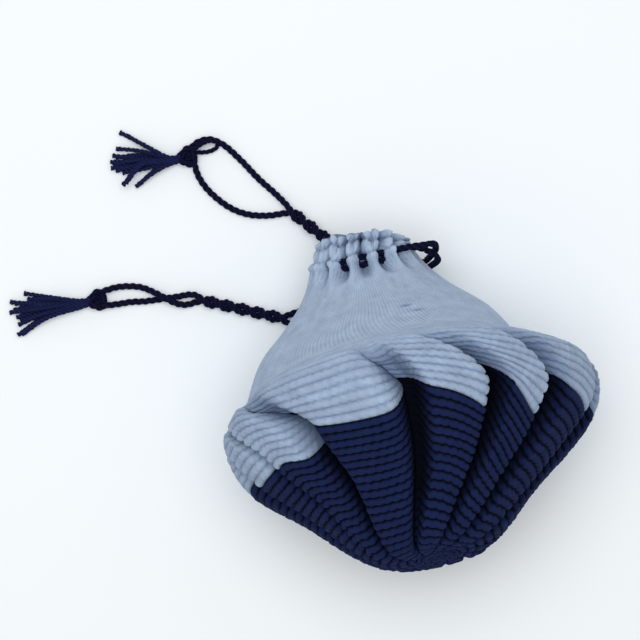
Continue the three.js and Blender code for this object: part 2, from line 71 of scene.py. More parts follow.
# Gores that lie pushed aside: which way they face, how far round that reaches, and the turn, all in degrees.
SHIFTED_GORES = ((122, 26, 14), (36, 18, 5))
STEEP_FOLD, STEEP_SPREAD, STEEP_SHARE = np.radians(90), np.radians(16), 0.55
SWIRL_RADIUS, SWIRL_TURN = 76, np.radians(55)
TOP_LEAN, LEANING_SIDES = np.radians(26), (-0.2, 0.5)
BASE_TILT, BEND_LENGTH, BELLY_HEIGHT = np.radians(20), 65, 65
TABLE_PRESS, SQUEEZE_EASE, UNDERSIDE_FULLNESS = 8, 4, 0.8
SHOULDER_LEAN, BASE_LEAN, NECK_LEAN = 9.5, 5, 9
SLACK_FACING, SLACK_SPREAD, SLACK_LENGTH, SLACK_DEPTH = np.radians(19), 0.5, 21, 14
CLOTH_THICKNESS = 3
RIDGE_PITCH, STITCH_WIDTH, NAVY_RIDGE, LIGHT_RIDGE = 5.3, 5.0, 1.8, 1.45
LOOP_REACH, LOOP_WIDTH, LOOP_BEND, LOOP_LIFT = 0.95, 0.36, 0.32, 0.11
ROWS_PER_RIDGE, COLUMNS, SHARP_EDGE = 6, 92, np.radians(80)
# The wool's colour on the crests of its stitches and down in their grooves; the darker groove colour is
# painted shade.
NAVY_CREST, NAVY_GROOVE = (0.0088, 0.0165, 0.068, 1), (0.0006, 0.0011, 0.0045, 1)
LIGHT_CREST, LIGHT_GROOVE = (0.385, 0.485, 0.635, 1), (0.15, 0.215, 0.345, 1)
# How far the painted shade goes from groove to crest over a ridge's height, navy and light blue, and its even
# tone at the seam to the yoke.
NAVY_SHADES, LIGHT_SHADES, SEAM_SHADE = (0, 1), (0.36, 0.61), 0.68
# Painted shade in the fold between gores: across its soft side, on its steep side, how far down it stays so,
# and how dark at most.
DARK_SOFT_SIDE, DARK_STEEP_SIDE, DARK_REACH, DARKEST = (-0.72, -0.36), 14, 1.7, 0.95
# Unevenness of the knitting: its size, and the lengths of its two waves.
ROW_WANDER, STITCH_WANDER, LUMPS = (0.10, 9, 1.6), (0.12, 1.1, 16), (0.9, 17, 3.4)
LOOP_VARIETY, VARIETY_RATES = 0.16, (2.4, 2.9)
EDGE_FLATTENS, FLAT_EDGE, EDGE_WITHOUT_LUMPS = 0.6, 12, 6
MERGE_LENGTH, MERGE_FLATTENS, RIDGE_SINK, MERGE_RISE = 24, 0.85, 0.7, 0.5
DYE_STEP = 37.0

ring_points = np.column_stack([[r for r, _ in RINGS], np.cumsum([rise for _, rise in RINGS])]).astype(float)


# A smooth curve through the ring points, at shares t of the way from the first to the last.
def through(points, t):
    last = len(points) - 1
    place = np.clip(t, 0, 1) * last
    k = np.minimum(place.astype(int), last - 1)
    f = (place - k)[..., None]
    p0, p1 = points[np.maximum(k - 1, 0)], points[k]
    p2, p3 = points[k + 1], points[np.minimum(k + 2, last)]
    v0, v1 = (p2 - p0) / 2, (p3 - p1) / 2
    return ((2 * p1 - 2 * p2 + v0 + v1) * f - 3 * p1 + 3 * p2 - 2 * v0 - v1) * f**2 + v0 * f + p1


def ring_places(*rings):
    return [RINGS.index(ring) for ring in rings]


fine = np.linspace(0, 1, STEPS_PER_RING * (len(RINGS) - 1) + 1)
cloth = np.concatenate([[0], np.cumsum(np.linalg.norm(np.diff(through(ring_points, fine), axis=0), axis=1))])
cloth_at_ring = cloth[::STEPS_PER_RING]
cloth_change, cloth_yoke = cloth_at_ring[ring_places(COLOUR_CHANGE, YOKE_SEAM)]
cloth_shoulder, cloth_collar, cloth_tie = cloth_at_ring[ring_places(SHOULDER, COLLAR_SEAM, TIE)]
belly_rise, shoulder_rise, tie_rise = ring_points[ring_places(BELLY, SHOULDER, TIE), 1]
half_gore = np.pi / GORE_COUNT
bend_start = tie_rise - TIE[1] / 2 - BEND_LENGTH
bend_radius = BEND_LENGTH / BASE_TILT


def ease(x, low, high):
    f = np.clip((x - low) / (high - low), 0, 1)
    return f * f * (3 - 2 * f)


# The pouch's axis is tilted at the base and bends level towards the neck.
def axis_run(height):
    straight = np.minimum(height, bend_start)
    bent = np.clip(height - bend_start, 0, BEND_LENGTH)
    level = np.maximum(height - bend_start - BEND_LENGTH, 0)
    tilt = BASE_TILT - bent / bend_radius
    y = straight * np.cos(BASE_TILT) + bend_radius * (np.sin(BASE_TILT) - np.sin(tilt)) + level
    z = -straight * np.sin(BASE_TILT) - bend_radius * (np.cos(tilt) - np.cos(BASE_TILT))
    return y, z, tilt


# The same axis in its place over the table, where it also leans a little to the left.
def axis_at(height):
    y, z, tilt = axis_run(height)
    belly_y, belly_z, _ = axis_run(belly_rise)
    across = np.clip((height - belly_rise) / (tie_rise - belly_rise), 0, 1)
    lean = SHOULDER_LEAN * np.sin(np.pi * across) ** 2 + BASE_LEAN * (1 - ease(height, 0, belly_rise))
    lean = lean + NECK_LEAN * ease(height, shoulder_rise, tie_rise)
    return -lean, y - belly_y, BELLY_HEIGHT + z - belly_z, tilt


# A point of the cloth round the axis. The table presses the lower half of each round up.
def placed(height, radius, angle, crest):
    x, y, z, tilt = axis_at(height)
    eased = (1 + ((z / np.cos(tilt) + TABLE_PRESS) / crest) ** -SQUEEZE_EASE) ** (-1 / SQUEEZE_EASE)
    sine = np.sin(angle)
    under = -eased * np.abs(sine) ** (1 + (UNDERSIDE_FULLNESS - 1) * (1 - eased))
    rise = radius * np.where(sine < 0, under, sine)
    return np.stack([x + radius * np.cos(angle), y + rise * np.sin(tilt), z + rise * np.cos(tilt)], -1)


def crest_at(along):
    return through(ring_points, np.interp(along, cloth, fine))


# The outline of the rings, set in by a depth square to the cloth.
def inset_at(along, depth):
    t = np.interp(along, cloth, fine)
    tangent = through(ring_points, t + TANGENT_STEP) - through(ring_points, t - TANGENT_STEP)
    tangent /= np.linalg.norm(tangent, axis=-1, keepdims=True)
    return crest_at(along) + np.stack([-tangent[..., 1], tangent[..., 0]], -1) * depth[..., None]


def rib_depth(along):
    fade = 1 - ease(along - cloth_change, *RIB_FADE)
    return RIB_DEPTH_RATIO * crest_at(along)[..., 0] * np.sin(half_gore) * fade


def gore_facing(k):
    return 2 * half_gore * k - np.pi / 2


def near(facing, middle, spread):
    return np.exp((np.cos(facing - middle) - 1) / (1 - np.cos(spread)))


def shifted(facing):
    moved = np.zeros_like(facing)
    for middle, spread, turn in np.radians(SHIFTED_GORES):
        moved = moved + turn * near(facing, middle, spread)
    return facing + moved


def turn_from(angle, facing):
    return (angle - facing + np.pi) % (2 * np.pi) - np.pi


def slack(along, angle):
    off = turn_from(angle, SLACK_FACING) / SLACK_SPREAD
    return SLACK_DEPTH * np.exp(-(off**2) - ((along - cloth_yoke) / SLACK_LENGTH) ** 2)


# The cloth of gore k, by the run along it and the share w across it: -1 is its soft side, 1 its steep side.
def gore_cloth(k, along, w, wall):
    gap = VALLEY_GAP * (1 - ease(along - cloth_change, 0, VALLEY_CLOSES))
    facing = gore_facing(k) - w * (half_gore - gap / 2 / crest_at(along)[..., 0])
    swirl = np.maximum(0, 1 - crest_at(along)[..., 0] / SWIRL_RADIUS) ** 2 * SWIRL_TURN
    lean = TOP_LEAN * ease(np.sin(facing), *LEANING_SIDES) * ease(along, cloth_change, cloth_yoke)
    lean = lean * (1 - STEEP_SHARE * near(facing, STEEP_FOLD, STEEP_SPREAD))
    angle = shifted(facing) + np.where(along < cloth_change, swirl, lean)
    depth = rib_depth(along) * np.where(w < 0, 1 - ease(w, *RIB_SOFT_SIDE), np.abs(w) ** RIB_STEEP_SIDE)
    inset = inset_at(along, depth + slack(along, angle) + wall)
    points = placed(inset[..., 1], inset[..., 0], angle, crest_at(along)[..., 0])
    points[..., 2] = np.maximum(points[..., 2], wall)
    return points


def colour_line(k, w):
    *rises, in_groove = COLOUR_LINES.get(k, LEVEL_LINE)
    bow = np.polyval(np.polyfit(LINE_PLACES, rises, 2), w)
    return cloth_change + bow + in_groove * (1 - ease(w, *RIB_SOFT_SIDE))


# An uneven wave from about -1 to 1, another one for each seed.
def ripple(x, y, seed):
    broad = np.sin(x + 1.7 * seed) * np.cos(1.3 * y + 0.9 * seed)
    return (broad + 0.5 * np.sin(2.1 * x - 1.7 * y + 2.3 * seed)) / 1.5


def uneven(kind, x, y, seed):
    size, x_length, y_length = kind
    return size * ripple(x / x_length, y / y_length, seed)


# Garter stitch shows rows of purl bumps: a ridge is one row of loops bent down at both ends over one row bent
# up, each half a stitch from the other.
def garter(rows, stitches):
    ridge = rows % 1 - 0.5

    def loops(offset, bend, lift):
        across = (stitches + offset) % 1 - 0.5
        off = ridge - lift + bend * across**2
        return np.sqrt(np.clip(1 - (across / LOOP_REACH) ** 2 - (off / LOOP_WIDTH) ** 2, 0, 1))

    return np.maximum(loops(0, LOOP_BEND, LOOP_LIFT), loops(0.5, -LOOP_BEND, -LOOP_LIFT))


def outward(points, closed):
    across = np.gradient(points, axis=1)
    if closed:
        across = (np.roll(points, -1, axis=1) - np.roll(points, 1, axis=1)) / 2
    normal = np.cross(across, np.gradient(points, axis=0))
    return normal / np.linalg.norm(normal, axis=-1, keepdims=True)


# A sheet of cloth: a fine front, a coarser back with only some of its rows and columns, and the edges.
def shell_faces(front, back, row_picks, column_picks, closed):
    faces = []
    for grid, order in ((front, 1), (back, -1)):
        quads = np.stack([grid[:-1, :-1], grid[:-1, 1:], grid[1:, 1:], grid[1:, :-1]], -1).reshape(-1, 4)
        faces += quads[:, ::order].tolist()
    for n in range(len(column_picks) - 1):
        a, b = column_picks[n], column_picks[n + 1]
        faces.append([front[0, a], back[0, n], back[0, n + 1], *front[0, b:a:-1]])
        faces.append([*front[-1, a:b + 1], back[-1, n + 1], back[-1, n]])
    if not closed:
        for n in range(len(row_picks) - 1):
            a, b = row_picks[n], row_picks[n + 1]
            faces.append([*front[a:b + 1, 0], back[n + 1, 0], back[n, 0]])
            faces.append([front[a, -1], back[n, -1], back[n + 1, -1], *front[b:a:-1, -1]])
    return faces


def picks(count, every):
    return sorted({*range(0, count, every), count - 1})


# The pouch's place in the frame comes from the boxes of its base disc and of a cord in its eyelets.
MM = 0.001
disc_low, disc_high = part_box("base_disc")
ring_low, ring_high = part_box("left_drawstring_ring")
CORD_DIAMETER, CORD_GAP = 3, 1.2
neck = np.array(axis_at(tie_rise)[:3])
shift = np.array([
    (disc_low[0] + disc_high[0]) / 2 / MM - axis_at(0)[0],
    (ring_low[1] + ring_high[1]) / 2 / MM - neck[1] + (CORD_DIAMETER + CORD_GAP) / 2,
    0,
])


# A piece of wool, with its place in the knitting as stitch, and a painted shade per point: low down in the
# stitches, folds and hollows, high on the crests.
def piece(name, points, faces, stitch, relief_shade, material):
    mesh = bpy.data.meshes.new(name)
    mesh.from_pydata(((points + shift) * MM).tolist(), [], [[int(v) for v in f] for f in faces])
    mesh.shade_smooth()
    mesh.set_sharp_from_angle(angle=SHARP_EDGE)
    corner = np.empty(len(mesh.loops), np.int32)
    mesh.loops.foreach_get("vertex_index", corner)
    mesh.uv_layers.new(name="stitch").data.foreach_set("uv", stitch[corner].astype(np.float32).ravel())
    mesh.attributes.new("relief_shade", "FLOAT", "POINT").data.foreach_set("value", relief_shade.astype(np.float32))
    mesh.materials.append(material)
    obj = bpy.data.objects.new(name, mesh)
    bpy.context.scene.collection.objects.link(obj)
    return obj


def shell(name, front, back_at, relief_shade, stitch, every, closed, material):
    rows, columns = front.shape[:2]
    row_picks, column_picks = picks(rows, every), picks(columns, every)
    if closed:
        column_picks = [*range(0, columns, every)]
    back = back_at(row_picks, column_picks)
    count = back.shape[0] * back.shape[1]
    front_at = np.arange(rows * columns).reshape(rows, columns)
    behind = rows * columns + np.arange(count).reshape(back.shape[:2])
    if closed:
        front_at = np.hstack([front_at, front_at[:, :1]])
        behind = np.hstack([behind, behind[:, :1]])
        column_picks = [*column_picks, columns]
    faces = shell_faces(front_at, behind, row_picks, column_picks, closed)
    return piece(
        name,
        np.concatenate([front.reshape(-1, 3), back.reshape(-1, 3)]),
        faces,
        np.concatenate([stitch.reshape(-1, 2), np.zeros((count, 2))]),
        np.concatenate([relief_shade.ravel(), np.zeros(count)]),
        material,
    )


# Wool yarn: the spun wool that every piece is knitted or laid from. It is dyed, a little unevenly. Its colour
# goes darker and bluer down in stitches, folds and hollows, as painted shade given per point of each piece.
# Its fine fibres run along the yarn and stand off it as a thin fuzz.
FULL_RELIEF = 0.9
DYE_SCALE, DYE_DETAIL, DYE_DEPTH, DYE_LEVEL = 0.11, 3, 0.55, 0.47
FIBRE_STRETCH, FIBRE_SLANT, FIBRE_DETAIL, FIBRE_DEPTH = (0.7, 3.2, 1), 0.35, 4, 0.5
FIBRE_SCALE, FIBRE_BUMP, FIBRE_HEIGHT = 1, 0.6, 0.6
WOOL_ROUGHNESS, WOOL_SHINE, FUZZ_ROUGHNESS = 0.92, 0.08, 0.6
NAVY_FUZZ, LIGHT_FUZZ = (0.15, 0.2, 0.55, 1), (0.8, 0.9, 1, 1)

yarn = bpy.data.node_groups.new("wool yarn", "ShaderNodeTree")
yarn.interface.new_socket("Crest", in_out="INPUT", socket_type="NodeSocketColor")
yarn.interface.new_socket("Groove", in_out="INPUT", socket_type="NodeSocketColor")
yarn.interface.new_socket("Colour", in_out="OUTPUT", socket_type="NodeSocketColor")
yarn.interface.new_socket("Fibres", in_out="OUTPUT", socket_type="NodeSocketFloat")


def put(tree, kind, **settings):
    node = tree.nodes.new(kind)
    for name, value in settings.items():
        setattr(node, name, value)
    return node


given = put(yarn, "NodeGroupInput")
made = put(yarn, "NodeGroupOutput")
relief_shade_at = put(yarn, "ShaderNodeAttribute", attribute_name="relief_shade")
stitch_at = put(yarn, "ShaderNodeUVMap", uv_map="stitch")
painted_shade_factor = put(yarn, "ShaderNodeMapRange", interpolation_type="SMOOTHSTEP")
painted_shade_factor.inputs["From Max"].default_value = FULL_RELIEF
tone = put(yarn, "ShaderNodeMix", data_type="RGBA")
dye = put(yarn, "ShaderNodeTexNoise")
dye.inputs["Scale"].default_value = DYE_SCALE
dye.inputs["Detail"].default_value = DYE_DETAIL
stretch = put(yarn, "ShaderNodeMapping")
stretch.inputs["Scale"].default_value = FIBRE_STRETCH
stretch.inputs["Rotation"].default_value = (0, 0, FIBRE_SLANT)
fibre = put(yarn, "ShaderNodeTexNoise")
fibre.inputs["Scale"].default_value = FIBRE_SCALE
fibre.inputs["Detail"].default_value = FIBRE_DETAIL
mottle = put(yarn, "ShaderNodeMath", operation="MULTIPLY_ADD")
mottle.inputs[1].default_value = DYE_DEPTH
mottle.inputs[2].default_value = DYE_LEVEL
strand_tone = put(yarn, "ShaderNodeMath", operation="MULTIPLY_ADD")
strand_tone.inputs[1].default_value = FIBRE_DEPTH
mottled = put(yarn, "ShaderNodeHueSaturation")
# A mix node has its two colours at inputs 6 and 7, and gives the mixed colour at output 2.
yarn.links.new(relief_shade_at.outputs["Fac"], painted_shade_factor.inputs["Value"])
yarn.links.new(painted_shade_factor.outputs["Result"], tone.inputs["Factor"])
yarn.links.new(given.outputs["Groove"], tone.inputs[6])
yarn.links.new(given.outputs["Crest"], tone.inputs[7])
yarn.links.new(stitch_at.outputs["UV"], dye.inputs["Vector"])
yarn.links.new(stitch_at.outputs["UV"], stretch.inputs["Vector"])
yarn.links.new(stretch.outputs["Vector"], fibre.inputs["Vector"])
yarn.links.new(dye.outputs["Fac"], mottle.inputs[0])
yarn.links.new(fibre.outputs["Fac"], strand_tone.inputs[0])
yarn.links.new(mottle.outputs["Value"], strand_tone.inputs[2])
yarn.links.new(tone.outputs[2], mottled.inputs["Color"])
yarn.links.new(strand_tone.outputs["Value"], mottled.inputs["Value"])
yarn.links.new(mottled.outputs["Color"], made.inputs["Colour"])
yarn.links.new(fibre.outputs["Fac"], made.inputs["Fibres"])


def wool(name, crest, groove, fuzz, fuzz_weight):
    material = bpy.data.materials.new(name)
    material.use_nodes = True
    tree = material.node_tree
    shader = tree.nodes["Principled BSDF"]
    shader.inputs["Roughness"].default_value = WOOL_ROUGHNESS
    shader.inputs["Specular IOR Level"].default_value = WOOL_SHINE
    shader.inputs["Sheen Weight"].default_value = fuzz_weight
    shader.inputs["Sheen Roughness"].default_value = FUZZ_ROUGHNESS
    shader.inputs["Sheen Tint"].default_value = fuzz
    spun = put(tree, "ShaderNodeGroup", node_tree=yarn)
    spun.inputs["Crest"].default_value = crest
    spun.inputs["Groove"].default_value = groove
    bump = put(tree, "ShaderNodeBump")
    bump.inputs["Strength"].default_value = FIBRE_BUMP
    bump.inputs["Distance"].default_value = FIBRE_HEIGHT * MM
    tree.links.new(spun.outputs["Colour"], shader.inputs["Base Color"])
    tree.links.new(spun.outputs["Fibres"], bump.inputs["Height"])
    tree.links.new(bump.outputs["Normal"], shader.inputs["Normal"])
    return material


navy_wool = wool("navy wool", NAVY_CREST, NAVY_GROOVE, NAVY_FUZZ, fuzz_weight=0.025)
light_wool = wool("light blue wool", LIGHT_CREST, LIGHT_GROOVE, LIGHT_FUZZ, fuzz_weight=0.1)

# The columns of a gore lie evenly over its cloth, as measured round a front gore at the colour change.
FRONT_GORE, MEASURED_POINTS = 6, 801
spread = np.linspace(-1, 1, MEASURED_POINTS)
front_gore = gore_cloth(FRONT_GORE, np.full(MEASURED_POINTS, cloth_change), spread, 0)
measured = np.concatenate([[0], np.cumsum(np.linalg.norm(np.diff(front_gore, axis=0), axis=1))])
across_w = np.interp(np.linspace(0, measured[-1], COLUMNS + 1), measured, spread)


def gore(name, k, start, end, from_line, ridge, shades, material):
    ridges = round(float(np.mean(end - start)) / RIDGE_PITCH)
    share = np.linspace(0, 1, ridges * ROWS_PER_RIDGE + 1)[:, None]
    along = start + (end - start) * share
    w = np.broadcast_to(across_w, along.shape)
    smooth = gore_cloth(k, along, w, 0)
    arc = np.cumsum(np.linalg.norm(np.diff(smooth, axis=1, prepend=smooth[:, :1]), axis=2), axis=1)
    rows = (share - (0 if from_line else 1)) * ridges + 0 * w
    wander = uneven(ROW_WANDER, arc, rows, seed=k) * np.sin(np.pi * share)
    stitches = arc / STITCH_WIDTH + uneven(STITCH_WANDER, rows, arc, seed=k + 5)
    variety = LOOP_VARIETY * ripple(stitches * VARIETY_RATES[0], rows * VARIETY_RATES[1], seed=k + 2)
    height = garter(rows + wander, stitches) * (1 + variety) * (1 - EDGE_FLATTENS * np.abs(w) ** FLAT_EDGE)
    lumps = uneven(LUMPS, arc, rows, seed=k + 9) * (1 - np.abs(w) ** EDGE_WITHOUT_LUMPS)
    lumps = lumps * np.sin(np.pi * share)
    merge = ease(along, cloth_yoke - MERGE_LENGTH, cloth_yoke)
    raised = ridge * height * (1 - MERGE_FLATTENS * merge) - RIDGE_SINK + MERGE_RISE * merge
    front = smooth + outward(smooth, closed=False) * (raised + lumps)[..., None]
    front[..., 2] = np.maximum(front[..., 2], 0)

    def back_at(row_picks, column_picks):
        at = np.ix_(row_picks, column_picks)
        return gore_cloth(k, along[at], w[at], CLOTH_THICKNESS)

    stitch = np.stack([arc, rows * RIDGE_PITCH], -1) + DYE_STEP * k
    # Painted shade: darker down between the stitches by their height, and darker still down the fold between
    # gores.
    fold = np.where(w < 0, 1 - ease(w, *DARK_SOFT_SIDE), np.abs(w) ** DARK_STEEP_SIDE)
    fold = fold * np.minimum(1, DARK_REACH * rib_depth(along) / rib_depth(cloth_change))
    shade = np.interp(height, (0, 1), shades)
    relief_shade = (shade * (1 - merge) + SEAM_SHADE * merge) * (1 - DARKEST * fold)
    return shell(name, front, back_at, relief_shade, stitch, ROWS_PER_RIDGE, closed=False, material=material)


for k in range(GORE_COUNT):
    line = colour_line(k, across_w)[None, :]
    lower = gore(
        f"navy_gore_{k + 1:02d}", k, 0 * line, line - SEAM_GAP / 2, from_line=False,
        ridge=NAVY_RIDGE, shades=NAVY_SHADES, material=navy_wool,
    )
    upper = gore(
        f"light_blue_gore_{k + 1:02d}", k, line + SEAM_GAP / 2, 0 * line + cloth_yoke, from_line=True,
        ridge=LIGHT_RIDGE, shades=LIGHT_SHADES, material=light_wool,
    )
    for obj, node, slot in ((lower, "lower_gore", "navy_knit"), (upper, "upper_gore", "light_knit")):
        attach(obj, "pouch")
        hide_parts(f"{node}_{k + 1:02d}")

# Base disc: the last navy stitches of all the gores, drawn together on one end of yarn. They pucker into a
# low dome with a dimple in its middle, sewn to the points of the gores.
DISC_COLUMNS, DISC_ROWS, DISC_BACK_STEP = 156, 22, 3
DISC_HOLE, DISC_SINK, DISC_DOME, DISC_BACK = 0.03, 0.6, 0.4, 4.5
DISC_PUCKER, DISC_TWIST, DIMPLE_DEPTH, DIMPLE_WIDTH = 0.42, 3.2, 1.6, 0.16
DISC_RIDGES, DISC_RIDGE, DISC_WANDER, DISC_STITCHES = 2.5, 0.9, 0.15, 2 * GORE_COUNT

disc_edge = float(inset_at(np.array([0.0]), np.array([0.0]))[0, 0]) - SEAM_GAP
disc_share = np.linspace(DISC_HOLE, 1, DISC_ROWS)[::-1, None]
disc_angle = -np.linspace(0, 2 * np.pi, DISC_COLUMNS, endpoint=False)[None, :]
gather = np.cos(disc_angle * GORE_COUNT + DISC_TWIST * disc_share)
disc_rise = DISC_SINK + DISC_DOME * disc_share**2 + DISC_PUCKER * gather * disc_share
disc_rise = disc_rise + DIMPLE_DEPTH * np.exp(-(disc_share / DIMPLE_WIDTH) ** 2)
disc_relief = garter(disc_share * DISC_RIDGES + DISC_WANDER * gather, disc_angle / 2 / np.pi * DISC_STITCHES)
disc_height = disc_rise - DISC_RIDGE * disc_relief


def on_disc(radius, height, angle):
    x, y, z, _ = axis_at(0)
    up = radius * np.sin(angle)
    return np.stack([
        x + radius * np.cos(angle),
        y + height * np.cos(BASE_TILT) + up * np.sin(BASE_TILT),
        z - height * np.sin(BASE_TILT) + up * np.cos(BASE_TILT),
    ], -1)


def disc_back(row_picks, column_picks):
    share, angle = disc_share[row_picks], disc_angle[:, column_picks]
    return on_disc(disc_edge * share + 0 * angle, DISC_BACK + 0 * share + 0 * angle, angle + 0 * share)


# The disc's stitch height also sets its painted shade, darker down between the stitches.
disc = shell(
    "base_disc_knit",
    on_disc(disc_edge * disc_share + 0 * disc_angle, disc_height, disc_angle + 0 * disc_share),
    disc_back,
    disc_relief,
    np.stack([disc_angle * disc_edge * disc_share, disc_edge * disc_share + 0 * disc_angle], -1),
    DISC_BACK_STEP,
    closed=True,
    material=navy_wool,
)
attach(disc, "pouch")
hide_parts("base_disc")

# Yoke: the light blue cone above the gores, knitted plain in the round, so its face is smooth and shows small
# V-shaped stitches. It is sewn to the gores and gathered into soft pleats near the collar.
PLEAT_COUNT = 14
COLLAR_SEAM_PLEAT, TIE_PLEAT, FRILL_PLEAT, PLEATS_DEEPEN = 1.5, 12, 13, 8
PLAIN_ROW, PLAIN_PER_PLEAT, PLAIN_HEIGHT, PLAIN_SHADES, PLAIN_WANDER = 3.7, 7, 0.75, (0.48, 0.9), 0.1
PLAIN_SLANT, PLAIN_LEG, PLAIN_LEG_WIDTH, PLAIN_LEG_LENGTH = 1.3, 0.25, 0.27, 0.68
YOKE_PER_PLEAT, YOKE_PER_ROW = 42, 5
YOKE_BEGINS, YOKE_SINK, PLAIN_SINK, SOFT_FOLDS = 14, 0.1, 0.4, 0.9
# Waves of the uneven rows and of the soft folds: how many go round the yoke, and their length in rows.
PLAIN_WAVES, FOLD_WAVES = (9, 3), (5, 5)
# Two loose stitches, dented into the yoke and darkened there with painted shade: the run from the gores,
# the facing in degrees and the depth of each.
LOOSE_STITCHES, LOOSE_LENGTH, LOOSE_HEIGHT = ((43.8, 74.4, 1.0), (35, 70.5, 0.8)), 3, 1.6

frill_end = cloth[-1]


def pleat_depth(along):
    gathered = ease(along, cloth_shoulder, cloth_collar) * COLLAR_SEAM_PLEAT
    tied = ease(along, cloth_collar + PLEATS_DEEPEN, cloth_tie) * (TIE_PLEAT - COLLAR_SEAM_PLEAT)
    return gathered + tied + ease(along, cloth_tie, frill_end) * (FRILL_PLEAT - TIE_PLEAT)


def pleat_folds(along, turn):
    return pleat_depth(along) * (1 - np.cos(PLEAT_COUNT * turn)) / 2


def neck_cloth(along, angle, turn, wall, crimp=0.0):
    inset = inset_at(along, pleat_folds(along, turn) + crimp + slack(along, angle) + wall)
    points = placed(inset[..., 1], inset[..., 0], angle, crest_at(along)[..., 0])
    points[..., 2] = np.maximum(points[..., 2], wall)
    return points


# Plain stitches show as columns of V shapes, each with two slanting legs.
def plain(rows, columns):
    leg = np.abs(columns % 1 - 0.5)
    row = (rows - PLAIN_SLANT * leg) % 1 - 0.5
    across = (leg - PLAIN_LEG) / PLAIN_LEG_WIDTH
    return np.sqrt(np.clip(1 - across**2 - (row / PLAIN_LEG_LENGTH) ** 2, 0, 1))


def plain_rows(along, angle):
    rows = (along - cloth_yoke) / PLAIN_ROW
    return rows + PLAIN_WANDER * ripple(angle * PLAIN_WAVES[0], rows / PLAIN_WAVES[1], seed=1)


yoke_rows = round((cloth_collar - cloth_yoke) / PLAIN_ROW)
yoke_share = np.linspace(0, 1, yoke_rows * YOKE_PER_ROW + 1)[:, None]
yoke_angle = -np.linspace(0, 2 * np.pi, PLEAT_COUNT * YOKE_PER_PLEAT, endpoint=False)[None, :]
yoke_angle = yoke_angle + 0 * yoke_share
yoke_along = cloth_yoke + (cloth_collar - cloth_yoke) * yoke_share + 0 * yoke_angle
yoke_radius = crest_at(yoke_along)[..., 0]
yoke_smooth = neck_cloth(yoke_along, yoke_angle, yoke_angle, 0)
yoke_columns = yoke_angle / 2 / np.pi * PLEAT_COUNT * PLAIN_PER_PLEAT
yoke_relief = plain(plain_rows(yoke_along, yoke_angle), yoke_columns)
yoke_row = (yoke_along - cloth_yoke) / PLAIN_ROW
soft_folds = ripple(yoke_angle * FOLD_WAVES[0], yoke_row / FOLD_WAVES[1], seed=4)
soft_folds = soft_folds * np.sin(np.pi * yoke_share)


def yoke_back(row_picks, column_picks):
    at = np.ix_(row_picks, column_picks)
    return neck_cloth(yoke_along[at], yoke_angle[at], yoke_angle[at], CLOTH_THICKNESS)


def loose_stitch(run, facing, depth):
    aside = turn_from(yoke_angle, np.radians(facing)) * yoke_radius / LOOSE_LENGTH
    up = (yoke_along - cloth_yoke - run) / LOOSE_HEIGHT
    return depth * np.exp(-(up**2) - aside**2)


begun = ease(yoke_along - cloth_yoke, 0, YOKE_BEGINS)
loose = sum(loose_stitch(*stitch) for stitch in LOOSE_STITCHES)
yoke_raised = PLAIN_HEIGHT * yoke_relief * yoke_radius / YOKE_SEAM[0] * begun - YOKE_SINK - PLAIN_SINK * begun
yoke_raised = yoke_raised + SOFT_FOLDS * soft_folds - loose
yoke_front = yoke_smooth + outward(yoke_smooth, closed=True) * yoke_raised[..., None]
yoke_front[..., 2] = np.maximum(yoke_front[..., 2], 0)
# Painted shade on the yoke: darker down between the plain stitches, flat at the seam, and darker in the loose
# stitches.
yoke_shade = SEAM_SHADE * (1 - begun) + np.interp(yoke_relief, (0, 1), PLAIN_SHADES) * begun
yoke = shell(
    "yoke_knit",
    yoke_front,
    yoke_back,
    yoke_shade * (1 - loose),
    np.stack([yoke_columns * STITCH_WIDTH, yoke_along - cloth_yoke], -1),
    YOKE_PER_ROW,
    closed=True,
    material=light_wool,
)
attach(yoke, "pouch")
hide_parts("yoke")

# Collar: the last light blue rounds of the yoke, with a round of eyelets and a ragged frill above it. The
# drawstrings gather it into deep pleats, and go through an eyelet in both flanks of every pleat.
COLLAR_PER_PLEAT, COLLAR_ROW = 42, 0.75
COLLAR_THICKNESS, GATHERED_WALL = 3, 6
FRILL_RAGGED, FRILL_LEAN, LEAN_START, FRILL_EXTRA, FRILL_CRIMP, CRIMP_OFFSET = 4, 0.3, 3, 6, 4.2, 0.5
FRILL_OPENS, FRILL_ARCH, FRILL_PEAK, FRILL_FLARE, FLARE_VARIETY = (3, 9), 1.3, -0.3, 2, 3
FRILL_GROWS, PLEAT_WANDER, HOLLOW_SHADE, INNER_SHADE = 2, 0.09, 1.2, 0.4
BUMPS_BEGIN, BUMP_ROW, BUMPS_PER_PLEAT, BUMP_HEIGHT, BUMP_WANDER = (-1, 3), 4.8, 8, 1.6, 0.25
COLLAR_SINK, EYELET_DEPTH, EYELET_HEIGHT = 0.5, 2.2, 4.3
# How many uneven waves go round the collar: in its ragged edge, its pleats, its rows of bumps and its flare.
RAGGED_WAVES, PLEAT_WAVES, BUMP_WAVES, FLARE_WAVES = 17, 3, 8, 6

